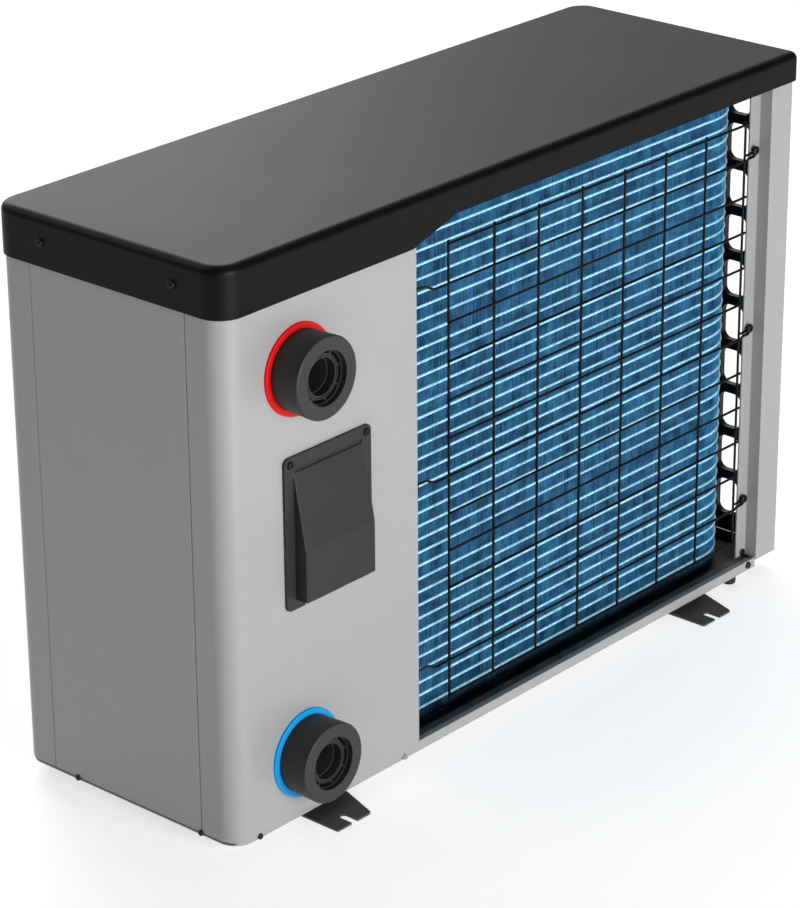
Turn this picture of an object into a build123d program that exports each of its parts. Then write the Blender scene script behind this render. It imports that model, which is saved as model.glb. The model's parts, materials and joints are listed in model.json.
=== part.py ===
from build123d import *

import math
import os

# Small pool heat pump, in millimetres.
# X runs along the cabinet: +X is the end with the water unions, -X the end with the bent coil.
# -Y is the front, where the fan blows out; +Y is the rear, with the coil and the unions.
# The origin is on the floor, under the middle of the unit's whole outline, unions and feet included.

# Cabinet
LENGTH = 961.0
REAR = 163.0
FRONT = -160.0
FLOOR_GAP = 13.0
TOP = 658.4
SHEET = 1.2
CORNER = 24.0
POST_CORNER = 6.0
SEAM = 1.0
PANEL_BOTTOM = FLOOR_GAP + 4.0
PANEL_TOP = 642.0
COLUMN_FRONT = 50.0
COLUMN_REAR = 51.0
FITTING_PANEL_EDGE = 191.0
POST_EDGE = -437.0
POST_STEP = 16.5
POST_FLANGE = 18.5
POST_LIP = 2.2
POST_RAISE = 9.0
SEAM_BEVEL = 0.9

HALF_L = LENGTH / 2
SIDE_Y0 = FRONT + COLUMN_FRONT
SIDE_Y1 = REAR - COLUMN_REAR

# Lid
LID_OVERHANG = 4.0
LID_OVERHANG_FRONT = 1.6
LID_WALL = 3.0
LID_WALL_FRONT = 1.2
LID_SKIRT = 603.0
LID_SKIRT_REAR = 624.0
LID_FILLET = 9.0
SKIRT_SLOPE_X = (199.5, 130.5)
LID_SCREW_Y = (-88.0, 100.0)
LID_SCREW_Z = 630.0

# Base pan and feet
PAN_SHEET = 1.5
PAN_RIM = 12.0
PAN_LIP = 18.0
FOOT_X = (338.5, -309.5)
FOOT_SHEET = 2.5
FOOT_REACH_REAR = 200.0
FOOT_REACH_FRONT = 203.0
FOOT_HALF_WIDTH = 26.5
FOOT_FLARE = 17.0
FOOT_CHAMFER = 1.5
NOTCH_WIDTH = 9.5
NOTCH_DEPTH = 20.0
DRAIN = (-399.5, 150.5)
DRAIN_BORE = 5.0
DRAIN_OUTER = 8.5

# Evaporator coil
COIL_REAR_FACE = 126.0
COIL_END_FACE = -449.5
COIL_DEPTH = 38.0
COIL_BEND = 70.0
COIL_Z0 = 20.0
COIL_Z1 = 622.0
COIL_RIGHT = 184.0
COIL_FRONT = -128.0
TUBE_R = 4.5
TUBE_PITCH = 31.75
TUBE_PAIRS = 9
TUBE_Z0 = 44.5
TUBE_ROWS = (9.5, 28.5)

# Fan
FAN_X = -135.0
FAN_Z = 315.0
FAN_R = 200.0
FAN_Y = -109.0
ORIFICE_R = 208.0
PANEL_OPENING_R = 226.0
GUARD_SCREW_R = 240.0
GUARD_RIM = 232.0
BLADES = 3
SHAFT_R = 6.0
SHAFT_CLEARANCE = 0.05

# Water unions
UNION_X = 373.0
OUTLET_Z = 522.5
INLET_Z = 87.0
NUT_R = 44.7
NUT_FACE = REAR + 40.0
THREAD_R = 35.0
THREAD_END = REAR + 22.0
WATER_BORE = 20.0
RING_R = 49.7
RING_THICK = 3.0
LIP_DEPTH = 6.0
RIBS = 8

# Heat exchanger and compressor
SHELL_Y = 45.0
SHELL_R = 72.0
COMPRESSOR = (278.0, -75.0)
COMPRESSOR_R = 58.0
ACCUMULATOR = (378.0, -95.0)
ACCUMULATOR_R = 30.0
VALVE_Y = 45.0
VALVE_Z = 400.0
PIPE_R = 4.8
SUCTION_R = 6.4

# Wire guard over the coil
WIRE_R = 1.5
WIRE_Y = REAR - 12.0
WIRE_X = [123.0 - 75.6 * k for k in range(8)]
WIRE_Z = [584.9 - 44.4 * k for k in range(13)]
ANCHOR_ROWS = (1, 6, 11)
HOOK_Y = REAR - 11.0
HOOK_RISE = 5.0
HOOK_BEND = 2.4
SCREW_RISE = 8.0

# Wiring cover
COVER_X = (267.5, 399.5)
COVER_Z = (259.5, 431.0)
COVER_PLATE = 3.0
HOOD_X = (280.0, 386.0)
HOOD_TOP = 415.0
HOOD_KNEE = 328.0
HOOD_BOTTOM = 271.0
HOOD_GROOVE = 2.4
HOOD_REACH = 19.0
HOOD_WALL = 2.2
CABLE_X = (365.2, 304.5)
CABLE_BORE = 4.0
CABLE_Y = REAR + 9.9


def block(x0, x1, y0, y1, z0, z1):
    """A box between two corners."""
    centre = Pos((x0 + x1) / 2, (y0 + y1) / 2, (z0 + z1) / 2)
    return centre * Box(x1 - x0, y1 - y0, z1 - z0)


def rod(start, end, radius):
    """A round bar from one point to another."""
    a = Vector(*start)
    b = Vector(*end)
    plane = Plane(origin=a, z_dir=(b - a).normalized())
    return plane * extrude(Circle(radius), (b - a).length)


def rod_y(x, z, radius, y0, y1):
    """A round bar along Y."""
    return rod((x, y0, z), (x, y1, z), radius)


def rod_z(x, y, radius, z0, z1):
    """A round bar standing up."""
    return rod((x, y, z0), (x, y, z1), radius)


def bent_pipe(points, radius, bend):
    """A round pipe of straight runs and equal bends."""
    path = FilletPolyline(*points, radius=bend)
    start = Plane(origin=path @ 0, z_dir=path % 0)
    return sweep(start * Circle(radius), path=path)


def cabinet_slab(grow, grow_front, z0, z1):
    """A slab on the cabinet's plan, grown on three sides by one amount and at the front by another."""
    plan = Rectangle(LENGTH + 2 * grow, REAR - FRONT + grow + grow_front)
    post = plan.vertices().sort_by(lambda v: v.X - v.Y)[0]
    plan = fillet(post, POST_CORNER + grow)
    others = plan.vertices().filter_by(lambda v: v.X > 0 or v.Y < 0)
    plan = fillet(others, CORNER + grow)
    middle = (REAR + grow + FRONT - grow_front) / 2
    return Pos(0, middle, z0) * extrude(plan, z1 - z0)


def casing_wall(z0, z1):
    """The closed sheet wall that the wrapped panels are cut from."""
    return cabinet_slab(0, 0, z0, z1) - cabinet_slab(-SHEET, -SHEET, z0 - 1, z1 + 1)


# Fasteners: each entry is the point on the surface and the outward direction.
LID_SCREWS = [
    ((side * (HALF_L + LID_OVERHANG), y, LID_SCREW_Z), (side, 0, 0))
    for side in (1, -1) for y in LID_SCREW_Y
]
BASE_SCREW_Z = 16.4
BASE_SCREWS = [
    ((HALF_L, -75.0, BASE_SCREW_Z), (1, 0, 0)),
    ((HALF_L, 111.0, BASE_SCREW_Z), (1, 0, 0)),
    ((445.5, REAR, BASE_SCREW_Z), (0, 1, 0)),
    ((215.0, REAR, BASE_SCREW_Z), (0, 1, 0)),
    ((-HALF_L, 118.0, BASE_SCREW_Z), (-1, 0, 0)),
    ((-HALF_L, -118.0, BASE_SCREW_Z), (-1, 0, 0)),
    ((430.0, FRONT, BASE_SCREW_Z), (0, -1, 0)),
    ((-430.0, FRONT, BASE_SCREW_Z), (0, -1, 0)),
]
RIM_SCREW = ((-422.5, REAR - SHEET, 19.6), (0, 1, 0))
GUARD_SCREW_X = -424.5
GUARD_SCREW_Z = [WIRE_Z[k] + SCREW_RISE for k in ANCHOR_ROWS]
POST_SCREW = ((-430.5, REAR - POST_STEP, 29.8), (0, 1, 0))
COVER_SCREWS = [((x, REAR + COVER_PLATE, 423.0), (0, 1, 0)) for x in (390.5, 274.5)]


def screw(point, direction, head_r, head_h, shank_r, shank_l):
    """A pan head screw with a cross recess, seated on the given surface point."""
    seat = Plane(origin=Vector(*point), z_dir=Vector(*direction))
    head = extrude(Circle(head_r), head_h)
    head = fillet(head.edges().group_by(Axis.Z)[-1], head_h * 0.6)
    slot = Box(head_r * 1.2, head_r * 0.24, head_h)
    cross = slot + Rot(0, 0, 90) * slot
    head = head - Pos(0, 0, head_h) * cross
    shank = Pos(0, 0, -shank_l) * extrude(Circle(shank_r), shank_l)
    return seat * (head + shank)


def shanks(places, radius, reach):
    """Clearance holes for screws at the given places."""
    holes = Part()
    for point, direction in places:
        normal = Vector(*direction)
        start = Vector(*point) + normal * reach
        end = Vector(*point) - normal * reach
        holes += rod(tuple(start), tuple(end), radius)
    return holes


def screw_group(places, head_r, head_h, shank_r, shank_l):
    """Identical screws as one group of separate solids."""
    screws = [screw(point, normal, head_r, head_h, shank_r, shank_l) for point, normal in places]
    return Compound(children=screws)


def base_pan():
    """Pressed tray that carries everything: notched under the post, folded in along the open rim."""
    floor = FLOOR_GAP + PAN_SHEET
    rim_top = FLOOR_GAP + PAN_RIM
    inset = SHEET + PAN_SHEET
    notch_y = REAR - POST_STEP
    notch = block(-HALF_L, POST_EDGE, notch_y, REAR, FLOOR_GAP, rim_top + 1)
    lined = block(-HALF_L, POST_EDGE + PAN_SHEET, notch_y - PAN_SHEET, REAR, FLOOR_GAP, rim_top + 1)
    tray = cabinet_slab(-SHEET, -SHEET, FLOOR_GAP, rim_top) - notch
    pan = tray - (cabinet_slab(-inset, -inset, floor, rim_top + 1) - lined)
    face = REAR - SHEET
    pan += block(-430, FITTING_PANEL_EDGE, face - PAN_LIP, face, rim_top - PAN_SHEET, rim_top)
    for x in (-300, -150, 0, 120):
        pan += block(x - 25, x + 25, 92, 122, floor, COIL_Z0)
    for y in (-90, 10):
        pan += block(-445, -416, y - 25, y + 25, floor, COIL_Z0)
    pan -= rod_z(DRAIN[0], DRAIN[1], DRAIN_OUTER - 1.5, FLOOR_GAP - 1, floor + 1)
    return pan - shanks(BASE_SCREWS + [RIM_SCREW], 2.1, 12)


def drain_spout():
    """Condensate spout: a flange on the pan floor and a round barb under it."""
    x, y = DRAIN
    flange = rod_z(x, y, DRAIN_OUTER + 0.8, FLOOR_GAP + PAN_SHEET, FLOOR_GAP + PAN_SHEET + 2)
    neck = rod_z(x, y, DRAIN_OUTER - 1.7, FLOOR_GAP, FLOOR_GAP + PAN_SHEET)
    barb = rod_z(x, y, DRAIN_OUTER, 1.0, FLOOR_GAP)
    barb = fillet(barb.edges().group_by(Axis.Z)[0], 3.0)
    spout = flange + neck + barb
    return spout - rod_z(x, y, DRAIN_BORE, 0, FLOOR_GAP + PAN_SHEET + 3)


def foot_bracket(centre_x):
    """A floor rail under the pan, with a notched plate standing out at the front and the rear."""
    right = FOOT_HALF_WIDTH
    left = -FOOT_HALF_WIDTH
    flare = left - FOOT_FLARE
    flare_y = 149.0
    ends = {}
    for side, reach in ((1, FOOT_REACH_REAR), (-1, FOOT_REACH_FRONT)):
        ends[side] = [
            (right, side * (reach - FOOT_CHAMFER)),
            (right - FOOT_CHAMFER, side * reach),
            (left + FOOT_CHAMFER, side * reach),
            (left, side * (reach - FOOT_CHAMFER)),
            (flare, side * flare_y),
        ]
    outline = ends[1] + list(reversed(ends[-1]))
    plate = extrude(make_face(Polyline(*outline, close=True)), FOOT_SHEET)
    for side, reach in ((1, FOOT_REACH_REAR), (-1, FOOT_REACH_FRONT)):
        tip = side * (reach - NOTCH_DEPTH + NOTCH_WIDTH / 2)
        end = side * (reach + 1)
        plate -= rod_z(0, tip, NOTCH_WIDTH / 2, -1, FOOT_SHEET + 1)
        plate -= block(-NOTCH_WIDTH / 2, NOTCH_WIDTH / 2, min(tip, end), max(tip, end), -1, FOOT_SHEET + 1)
    web = 146.0
    rail = plate
    rail += block(flare, flare + FOOT_SHEET, -web, web, 0, FLOOR_GAP)
    rail += block(right - FOOT_SHEET, right, -web, web, 0, FLOOR_GAP)
    rail += block(flare, flare + 16, -web, web, FLOOR_GAP - FOOT_SHEET, FLOOR_GAP)
    rail += block(right - 16, right, -web, web, FLOOR_GAP - FOOT_SHEET, FLOOR_GAP)
    return Pos(centre_x, 0, 0) * rail


def seam_bevel(y):
    """Cutter that breaks the outer corner of a sheet's edge on the union end."""
    side = SEAM_BEVEL * math.sqrt(2)
    return Pos(HALF_L, y, TOP / 2) * Rot(0, 0, 45) * Box(side, side, TOP)


def front_panel():
    """Front sheet wrapped round both front corners, with the fan opening."""
    wall = casing_wall(PANEL_BOTTOM, PANEL_TOP)
    edge = SIDE_Y0 - SEAM / 2
    panel = wall & block(-HALF_L - 1, HALF_L + 1, FRONT - 1, edge, 0, TOP)
    panel -= seam_bevel(edge)
    back = HALF_L - SHEET
    panel += block(back - SHEET, back, SIDE_Y0 - 12, SIDE_Y0 + 12, PANEL_BOTTOM + 14, PANEL_TOP - 14)
    panel += block(-HALF_L, -HALF_L + 14, edge - SHEET, edge, PANEL_BOTTOM + 14, PANEL_TOP)
    panel -= rod_y(FAN_X, FAN_Z, PANEL_OPENING_R, FRONT - 5, FRONT + 5)
    panel -= shanks(BASE_SCREWS, 2.1, 12)
    return panel - shanks(fan_guard_screw_places(), 2.1, 12)


def side_panel():
    """Flat removable service panel on the union end."""
    y0 = SIDE_Y0 + SEAM / 2
    y1 = SIDE_Y1 - SEAM / 2
    panel = block(HALF_L - SHEET, HALF_L, y0, y1, PANEL_BOTTOM, PANEL_TOP) - seam_bevel(y1)
    return panel - shanks(BASE_SCREWS, 2.1, 12) - shanks(LID_SCREWS, 2.1, 12)


def rear_fitting_panel():
    """Rear sheet at the union end, wrapped round the corner."""
    wall = casing_wall(PANEL_BOTTOM, PANEL_TOP)
    edge = FITTING_PANEL_EDGE
    panel = wall & block(edge, HALF_L + 1, SIDE_Y1 + SEAM / 2, REAR + 1, 0, TOP)
    panel += block(edge, edge + SHEET, REAR - 19, REAR - SHEET, PANEL_BOTTOM + 14, PANEL_TOP)
    back = HALF_L - SHEET
    panel += block(back - SHEET, back, SIDE_Y1 - 12, SIDE_Y1 + 12, PANEL_BOTTOM + 14, PANEL_TOP - 14)
    for z in (OUTLET_Z, INLET_Z):
        panel -= rod_y(UNION_X, z, THREAD_R + 0.5, REAR - 5, REAR + 5)
    panel -= block(290, 375, REAR - 5, REAR + 5, 290, 400)
    for k in ANCHOR_ROWS:
        z = WIRE_Z[k] + HOOK_RISE
        panel -= rod((edge - 3, HOOK_Y, z), (edge + 3, HOOK_Y, z), 2.2)
    return panel - shanks(BASE_SCREWS, 2.1, 12) - shanks(COVER_SCREWS, 1.8, 12)


def rear_corner_post():
    """Corner post at the bent end of the coil, with a step in to the guard flange."""
    wall = casing_wall(PANEL_BOTTOM, PANEL_TOP)
    post = wall & block(-HALF_L - 1, POST_EDGE, SIDE_Y1 + SEAM / 2, REAR + 1, 0, TOP)
    flange_y = REAR - POST_STEP
    post -= block(-HALF_L - 1, POST_EDGE + 1, flange_y, REAR + 1, 0, FLOOR_GAP + POST_RAISE)
    edge = POST_EDGE + POST_FLANGE
    low = FLOOR_GAP + PAN_RIM + 0.5
    post += block(POST_EDGE - SHEET, POST_EDGE, flange_y - SHEET, REAR, low, PANEL_TOP)
    post += block(POST_EDGE - SHEET, edge, flange_y - SHEET, flange_y, low, PANEL_TOP)
    post += block(edge - SHEET, edge, flange_y - POST_LIP, flange_y, low, PANEL_TOP)
    side = SIDE_Y1 + SEAM / 2
    post += block(-HALF_L, -HALF_L + 14, side, side + SHEET, PANEL_BOTTOM + 14, PANEL_TOP)
    post -= shanks([((GUARD_SCREW_X, flange_y, z), (0, 1, 0)) for z in GUARD_SCREW_Z], 2.1, 6)
    return post - shanks([POST_SCREW], 2.1, 6) - shanks(BASE_SCREWS, 2.1, 12)


def side_grille():
    """Moulded grille in front of the bent end of the coil."""
    thick = 8.0
    pitch_y = 36.0
    pitch_z = 57.4
    window = (31.0, 45.4)
    first_y = SIDE_Y1 - 5.0 - window[0] / 2
    first_z = 591.7
    y0 = SIDE_Y0 + SEAM
    y1 = SIDE_Y1 - SEAM
    cutter = extrude(Plane.YZ * RectangleRounded(window[0], window[1], 10.0), thick * 2)
    grille = block(-HALF_L, -HALF_L + thick, y0, y1, PANEL_BOTTOM + 12, PANEL_TOP)
    cutters = []
    for column in range(6):
        for row in range(10):
            y = first_y - pitch_y * column
            z = first_z - pitch_z * row
            cutters.append(Pos(-HALF_L - thick / 2, y, z) * cutter)
    grille -= cutters
    return grille - shanks(LID_SCREWS, 2.1, 16)


def lid():
    """Moulded top cover; its rear skirt steps up over the coil."""
    inset = LID_OVERHANG - LID_WALL
    inset_front = LID_OVERHANG_FRONT - LID_WALL_FRONT
    outer = cabinet_slab(LID_OVERHANG, LID_OVERHANG_FRONT, LID_SKIRT, TOP)
    outer = fillet(outer.edges().group_by(Axis.Z)[-1], LID_FILLET)
    inner = cabinet_slab(inset, inset_front, LID_SKIRT - 1, TOP - LID_WALL)
    inner = fillet(inner.edges().group_by(Axis.Z)[-1], LID_FILLET - LID_WALL)
    cover = outer - inner
    x_low, x_high = SKIRT_SLOPE_X
    end = -HALF_L - LID_OVERHANG - 1
    step = Polyline(
        (x_low, LID_SKIRT - 5), (x_low, LID_SKIRT), (x_high, LID_SKIRT_REAR), (end, LID_SKIRT_REAR),
        (end, LID_SKIRT - 5), close=True,
    )
    cutter = extrude(Plane.XZ * make_face(step), -60)
    cover -= Pos(0, REAR - 40, 0) * cutter
    return cover - shanks(LID_SCREWS, 2.1, 12)


def anchor_wire(z):
    """One long wire: cranked and hooked into the panel's edge, then doubled back under a screw."""
    edge = FITTING_PANEL_EDGE - 2.2
    slot = z + HOOK_RISE
    top = z + 13.8
    seat = REAR - POST_STEP + WIRE_R + 0.3
    end = GUARD_SCREW_X - 2.0
    path = [
        (edge + 7, HOOK_Y, slot), (edge, HOOK_Y, slot), (edge, REAR - 2.7, slot), (edge, REAR - 2.7, top),
        (163, WIRE_Y, z + 7), (149, WIRE_Y, z),
        (WIRE_X[-1] - 1.5, WIRE_Y, z), (WIRE_X[-1] - 7, seat, z),
        (end, seat, z), (end, seat, z + HOOK_RISE), (WIRE_X[-1] - 3.5, seat, z + HOOK_RISE),
    ]
    return bent_pipe(path, WIRE_R, HOOK_BEND)


def wire_guard():
    """Welded wire grid over the coil, hooked into the panel and held under three screws."""
    top = WIRE_Z[0] + 3
    bottom = WIRE_Z[-1] - 6
    drop = 2 * WIRE_R - 0.5
    grid = Part()
    for x in WIRE_X:
        grid += rod_z(x, WIRE_Y - drop, WIRE_R, bottom, top)
    for k, z in enumerate(WIRE_Z):
        if k in ANCHOR_ROWS:
            grid += anchor_wire(z)
        else:
            grid += rod((WIRE_X[0] + 2, WIRE_Y, z), (WIRE_X[-1] - 2, WIRE_Y, z), WIRE_R)
    return grid


def guard_screws():
    """Screws whose heads clamp the doubled wire ends to the post, and one low on its flange."""
    seat = REAR - POST_STEP
    head_seat = seat + 2 * WIRE_R + 0.6
    screws = []
    for z in GUARD_SCREW_Z:
        screws.append(screw((GUARD_SCREW_X, head_seat, z), (0, 1, 0), 5.5, 3.0, 1.4, 9.0))
    screws.append(screw(*POST_SCREW, 4.5, 2.6, 2.0, 5.0))
    return Compound(children=screws)


def wiring_cover():
    """Cover over the terminals: a screwed flange and a hood that slopes out over the cables."""
    x0, x1 = COVER_X
    z0, z1 = COVER_Z
    y0 = REAR
    y1 = REAR + COVER_PLATE
    centre = Pos((x0 + x1) / 2, y1, (z0 + z1) / 2) * Rot(90, 0, 0)
    plate = centre * extrude(RectangleRounded(x1 - x0, z1 - z0, 7.0), COVER_PLATE)
    for x in CABLE_X:
        plate -= block(x - 6.8, x + 6.8, y0 - 1, y1 + 1, z0 - 1, z0 + 7)
    notch = Polyline(
        (x0 - 1, z0 - 1), (x0 + 5.5, z0 - 1), (x0 + 5.5, z0), (x0, z0 + 14), (x0 - 1, z0 + 14), close=True
    )
    plate -= Pos(0, y1 + 1, 0) * extrude(Plane.XZ * make_face(notch), COVER_PLATE + 2)
    face = REAR + HOOD_REACH
    outer = [(y0, HOOD_TOP), (y1, HOOD_TOP), (face, HOOD_KNEE), (face, HOOD_BOTTOM), (y0, HOOD_BOTTOM)]
    hood = extrude(Plane.YZ * make_face(Polyline(*outer, close=True)), HOOD_X[1] - HOOD_X[0])
    hood = Pos(HOOD_X[0], 0, 0) * hood
    corners = hood.edges().filter_by(lambda e: e.center().Y > y1 + 2 and e.center().Z > HOOD_BOTTOM + 3)
    hood = fillet(corners, 1.5)
    wall = HOOD_WALL
    inner = [
        (y0 - 1, HOOD_TOP - 8), (y0 + 1, HOOD_TOP - 8), (face - wall, HOOD_KNEE),
        (face - wall, HOOD_BOTTOM + wall), (y0 - 1, HOOD_BOTTOM + wall),
    ]
    cavity = extrude(Plane.YZ * make_face(Polyline(*inner, close=True)), HOOD_X[1] - HOOD_X[0] - 2 * wall)
    cover = plate + hood - Pos(HOOD_X[0] + wall, 0, 0) * cavity
    crease = rod((HOOD_X[0] + 2, y1 + 1.0, HOOD_TOP), (HOOD_X[1] - 2, y1 + 1.0, HOOD_TOP), HOOD_GROOVE)
    cover -= crease
    for x in CABLE_X:
        cover -= rod_z(x, CABLE_Y, 6.0, HOOD_BOTTOM - 1, HOOD_BOTTOM + wall + 1)
    return cover - shanks(COVER_SCREWS, 1.8, 8)


def cable_grommets():
    """Rubber grommets in the hood's floor."""
    grommets = []
    for x in CABLE_X:
        y = CABLE_Y
        body = rod_z(x, y, 6.0, HOOD_BOTTOM - 1, HOOD_BOTTOM + HOOD_WALL + 2)
        body += rod_z(x, y, 6.8, HOOD_BOTTOM - 1.6, HOOD_BOTTOM)
        body += rod_z(x, y, 6.8, HOOD_BOTTOM + HOOD_WALL, HOOD_BOTTOM + HOOD_WALL + 2)
        grommets.append(body - rod_z(x, y, CABLE_BORE, HOOD_BOTTOM - 3, HOOD_BOTTOM + 8))
    return Compound(children=grommets)


def terminal_block():
    """Screw terminals behind the wiring cover."""
    body = block(295, 370, 138, 158, 330, 362)
    for k in range(6):
        x = 302 + 12.2 * k
        body -= rod_y(x, 346, 3.2, 150, 160)
        body -= block(x - 3.5, x + 3.5, 146, 153, 329, 336)
    foot = block(290, 375, 134, 138, 336, 356)
    return body + foot


def coil_plan():
    """The L-shaped plan of the fin block, with its round bend."""
    y0 = COIL_REAR_FACE - COIL_DEPTH
    bend_x = COIL_END_FACE + COIL_BEND
    bend_y = COIL_REAR_FACE - COIL_BEND
    height = COIL_Z1 - COIL_Z0
    rear = block(bend_x, COIL_RIGHT, y0, COIL_REAR_FACE, COIL_Z0, COIL_Z1)
    end = block(COIL_END_FACE, COIL_END_FACE + COIL_DEPTH, COIL_FRONT, bend_y, COIL_Z0, COIL_Z1)
    ring = extrude(Circle(COIL_BEND) - Circle(COIL_BEND - COIL_DEPTH), height)
    ring = Pos(bend_x, bend_y, COIL_Z0) * ring
    corner = ring & block(COIL_END_FACE - 1, bend_x, bend_y, COIL_REAR_FACE + 1, COIL_Z0, COIL_Z1)
    return rear + corner + end


def tube_sheet_rear():
    """Plate on the coil's end beside the compressor chamber."""
    return block(COIL_RIGHT, COIL_RIGHT + 1.5, 80, 143, COIL_Z0 - 1, COIL_Z1 + 1)


def tube_sheet_front():
    """Plate on the coil's end behind the front panel."""
    x0 = COIL_END_FACE - 3
    x1 = COIL_END_FACE + COIL_DEPTH + 8
    return block(x0, x1, COIL_FRONT - 1.5, COIL_FRONT, COIL_Z0 - 1, COIL_Z1 + 1)


def u_bends(at, facing):
    """Half-round return bends that join the coil's tubes in pairs."""
    bends = []
    half = TUBE_PITCH / 2
    reach = 2 * TUBE_PITCH
    for row in TUBE_ROWS:
        for k in range(TUBE_PAIRS):
            z = TUBE_Z0 + half + 2 * TUBE_PITCH * k
            if facing == "x":
                y = COIL_REAR_FACE - row
                ring = Pos(at, y, z) * Rot(90, 0, 0) * Torus(half, TUBE_R)
                bends.append(ring & block(at, at + reach, y - reach, y + reach, z - reach, z + reach))
            else:
                x = COIL_END_FACE + row
                ring = Pos(x, at, z) * Rot(0, 90, 0) * Torus(half, TUBE_R)
                bends.append(ring & block(x - reach, x + reach, at - reach, at, z - reach, z + reach))
    return Compound(children=bends)


def coil_header():
    """Gas header that joins three of the coil's circuits."""
    x = 222.0
    y = 107.0
    header = rod_z(x, y, 8.0, 60, 340)
    for z in (76.25, 203.25, 330.25):
        header += rod((COIL_RIGHT + 1.5, y, z), (x, y, z), TUBE_R)
    return header


def fan_guard_screw_places():
    """Four screws on the guard's rim."""
    places = []
    for k in range(4):
        angle = math.radians(45 + 90 * k)
        x = FAN_X + GUARD_SCREW_R * math.cos(angle)
        z = FAN_Z + GUARD_SCREW_R * math.sin(angle)
        places.append(((x, FRONT - 4.0, z), (0, -1, 0)))
    return places


def fan_guard():
    """Round wire guard: rings on radial wires that bend back to a flat rim on the front panel."""
    front = FRONT - 26.0
    rim_y = FRONT - 2.6
    knee = 196.0
    spokes = 12
    rings = 14
    ring_pitch = 13.6
    ring_wire = 1.4
    spoke_wire = 1.9
    slope = (rim_y - front) / (GUARD_RIM - knee)
    rim = rod_y(FAN_X, FAN_Z, GUARD_RIM + 3.5, rim_y - 2.3, rim_y + 2.3)
    rim -= rod_y(FAN_X, FAN_Z, GUARD_RIM - 3.5, rim_y - 5, rim_y + 5)
    tabs = [rod_y(p[0], p[2], 8.5, FRONT - 4.0, FRONT) for p, _ in fan_guard_screw_places()]
    wires = []
    for k in range(spokes):
        spoke = rod((34, 0, 0), (knee, 0, 0), spoke_wire)
        spoke += Pos(knee, 0, 0) * Sphere(spoke_wire)
        spoke += rod((knee, 0, 0), (GUARD_RIM, 0, front - rim_y), spoke_wire)
        turn = Rot(90, 0, 0) * Rot(0, 0, 360 / spokes * k + 15)
        wires.append(Pos(FAN_X, front, FAN_Z) * turn * spoke)
    hoops = []
    for k in range(rings):
        radius = 46.0 + ring_pitch * k
        back = max(0.0, radius - knee) * slope
        hoops.append(Pos(FAN_X, front + back, FAN_Z) * Rot(90, 0, 0) * Torus(radius, ring_wire))
    boss = rod_y(FAN_X, FAN_Z, 40, front - 2.4, front + 2.4)
    guard = rim + tabs + wires + boss + hoops
    return guard - shanks(fan_guard_screw_places(), 2.1, 12)


def fan_orifice():
    """Bell mouth ring round the blade tips, fixed behind the front panel."""
    back = FRONT + SHEET
    wall = 2.2
    profile = [
        (PANEL_OPENING_R + 10, back), (PANEL_OPENING_R + 10, back + 2), (ORIFICE_R + 14, back + 2),
        (ORIFICE_R + wall, back + 14), (ORIFICE_R + wall, back + 44), (ORIFICE_R, back + 44),
        (ORIFICE_R, back + 13), (ORIFICE_R + 13, back),
    ]
    ring = revolve(make_face(Polyline(*profile, close=True)), Axis.Y)
    return Pos(FAN_X, 0, FAN_Z) * ring


def blade():
    """One swept blade: a loft of thin sections that flatten towards the tip."""
    sections = []
    for radius, chord, pitch, shift in ((38, 66, 42, 0), (120, 150, 30, 6), (206, 216, 21, 16)):
        plane = Plane(origin=(radius, shift, 0), x_dir=(0, 1, 0), z_dir=(1, 0, 0))
        section = plane * Rot(0, 0, pitch) * RectangleRounded(chord, 3.2, 1.5)
        sections.append(section)
    solid = loft(sections)
    return solid & (Pos(0, 0, -80) * extrude(Circle(FAN_R), 160))


def fan_rotor():
    hub = Pos(0, 0, -24) * extrude(Circle(44), 48)
    hub = fillet(hub.edges().group_by(Axis.Z)[-1], 10)
    cup = Pos(0, 0, -25) * extrude(Circle(40), 42)
    cup -= Pos(0, 0, -25) * extrude(Circle(12), 42)
    hub -= cup
    rotor = hub
    for k in range(BLADES):
        rotor += Rot(0, 0, 360 / BLADES * k) * blade() - Pos(0, 0, -60) * extrude(Circle(42), 120)
    rotor -= Pos(0, 0, -60) * extrude(Circle(SHAFT_R), 120)
    return Pos(FAN_X, FAN_Y, FAN_Z) * Rot(90, 0, 0) * rotor


def fan_shaft():
    """Motor shaft, which turns with the rotor."""
    return rod_y(FAN_X, FAN_Z, SHAFT_R, FAN_Y - 34, -5)


def fan_nut():
    """Nut that keeps the rotor on its shaft."""
    nut = extrude(RegularPolygon(10, 6), 8) - extrude(Circle(SHAFT_R), 8)
    return Pos(FAN_X, FAN_Y - 24.05, FAN_Z) * Rot(90, 0, 0) * nut


def fan_motor():
    """Sealed motor with a running bore for the shaft."""
    motor = rod_y(FAN_X, FAN_Z, 52, -70, 10)
    motor = fillet(motor.edges().filter_by(GeomType.CIRCLE), 6)
    motor += rod_y(FAN_X, FAN_Z, 16, -78, -70)
    motor += block(FAN_X - 62, FAN_X + 62, 0, 6, FAN_Z - 22, FAN_Z + 22)
    return motor - rod_y(FAN_X, FAN_Z, SHAFT_R + SHAFT_CLEARANCE, -80, 0)


def motor_bracket():
    """Two uprights and a cross plate that carry the motor between the pan and the coil top."""
    bracket = block(FAN_X - 70, FAN_X + 70, 10.2, 12.2, FAN_Z - 60, FAN_Z + 60)
    for side in (-1, 1):
        x = FAN_X + side * 60
        bracket += block(x - 12, x + 12, 12.2, 14.2, FLOOR_GAP + PAN_SHEET, 628)
        bracket += block(x + side * 10 - 1, x + side * 10 + 1, 12.2, 32, FLOOR_GAP + PAN_SHEET, 628)
    bracket += block(FAN_X - 90, FAN_X + 90, 12.2, 40, 626, 628)
    bracket += block(FAN_X - 90, FAN_X + 90, 12.2, 40, FLOOR_GAP + PAN_SHEET, FLOOR_GAP + PAN_SHEET + 2)
    return bracket


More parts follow.
